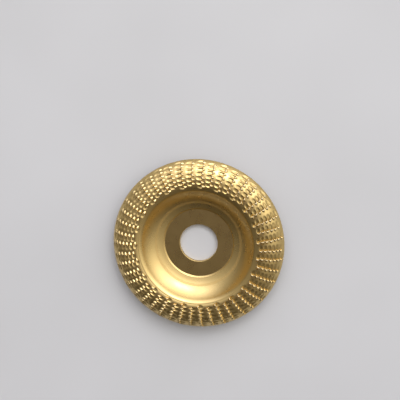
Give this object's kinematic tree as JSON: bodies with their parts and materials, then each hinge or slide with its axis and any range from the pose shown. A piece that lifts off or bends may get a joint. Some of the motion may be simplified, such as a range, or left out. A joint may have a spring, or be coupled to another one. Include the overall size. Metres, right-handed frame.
{
  "type": "angle grinder carving disc",
  "caption": "Dished steel rasp disc for an angle grinder: flat hub with a plain bore, concave bowl, and a rounded rim set with rows of raised cutting teeth.",
  "frame": {"origin": "on the disc's axis at the hub's back face, which seats on the grinder's flange", "axes": "+Z along the axis, away from the grinder towards the working face; +X and +Y lie in the plane of the hub"},
  "size_m": [0.1, 0.1, 0.0146],
  "materials": {
    "plated_steel": "polished gold-coloured hard plating on pressed steel",
    "plated_teeth": "gold-coloured hard plating, bright on the cutting edges"
  },
  "bodies": {
    "root": {"dish_body": "plated_steel", "tooth_row_01": "plated_teeth", "tooth_row_02": "plated_teeth", "tooth_row_03": "plated_teeth", "tooth_row_04": "plated_teeth", "tooth_row_05": "plated_teeth", "tooth_row_06": "plated_teeth", "tooth_row_07": "plated_teeth", "tooth_row_08": "plated_teeth", "tooth_row_09": "plated_teeth", "tooth_row_10": "plated_teeth", "tooth_row_11": "plated_teeth", "tooth_row_12": "plated_teeth", "tooth_row_13": "plated_teeth", "tooth_row_14": "plated_teeth", "tooth_row_15": "plated_teeth", "tooth_row_16": "plated_teeth", "tooth_row_17": "plated_teeth", "tooth_row_18": "plated_teeth", "tooth_row_19": "plated_teeth", "tooth_row_20": "plated_teeth", "tooth_row_21": "plated_teeth", "tooth_row_22": "plated_teeth", "tooth_row_23": "plated_teeth", "tooth_row_24": "plated_teeth", "tooth_row_25": "plated_teeth", "tooth_row_26": "plated_teeth", "tooth_row_27": "plated_teeth", "tooth_row_28": "plated_teeth", "tooth_row_29": "plated_teeth", "tooth_row_30": "plated_teeth", "tooth_row_31": "plated_teeth", "tooth_row_32": "plated_teeth", "tooth_row_33": "plated_teeth", "tooth_row_34": "plated_teeth", "tooth_row_35": "plated_teeth", "tooth_row_36": "plated_teeth", "tooth_row_37": "plated_teeth", "tooth_row_38": "plated_teeth", "tooth_row_39": "plated_teeth", "tooth_row_40": "plated_teeth", "tooth_row_41": "plated_teeth", "tooth_row_42": "plated_teeth", "tooth_row_43": "plated_teeth", "tooth_row_44": "plated_teeth", "tooth_row_45": "plated_teeth", "tooth_row_46": "plated_teeth"}
  },
  "joints": []
}
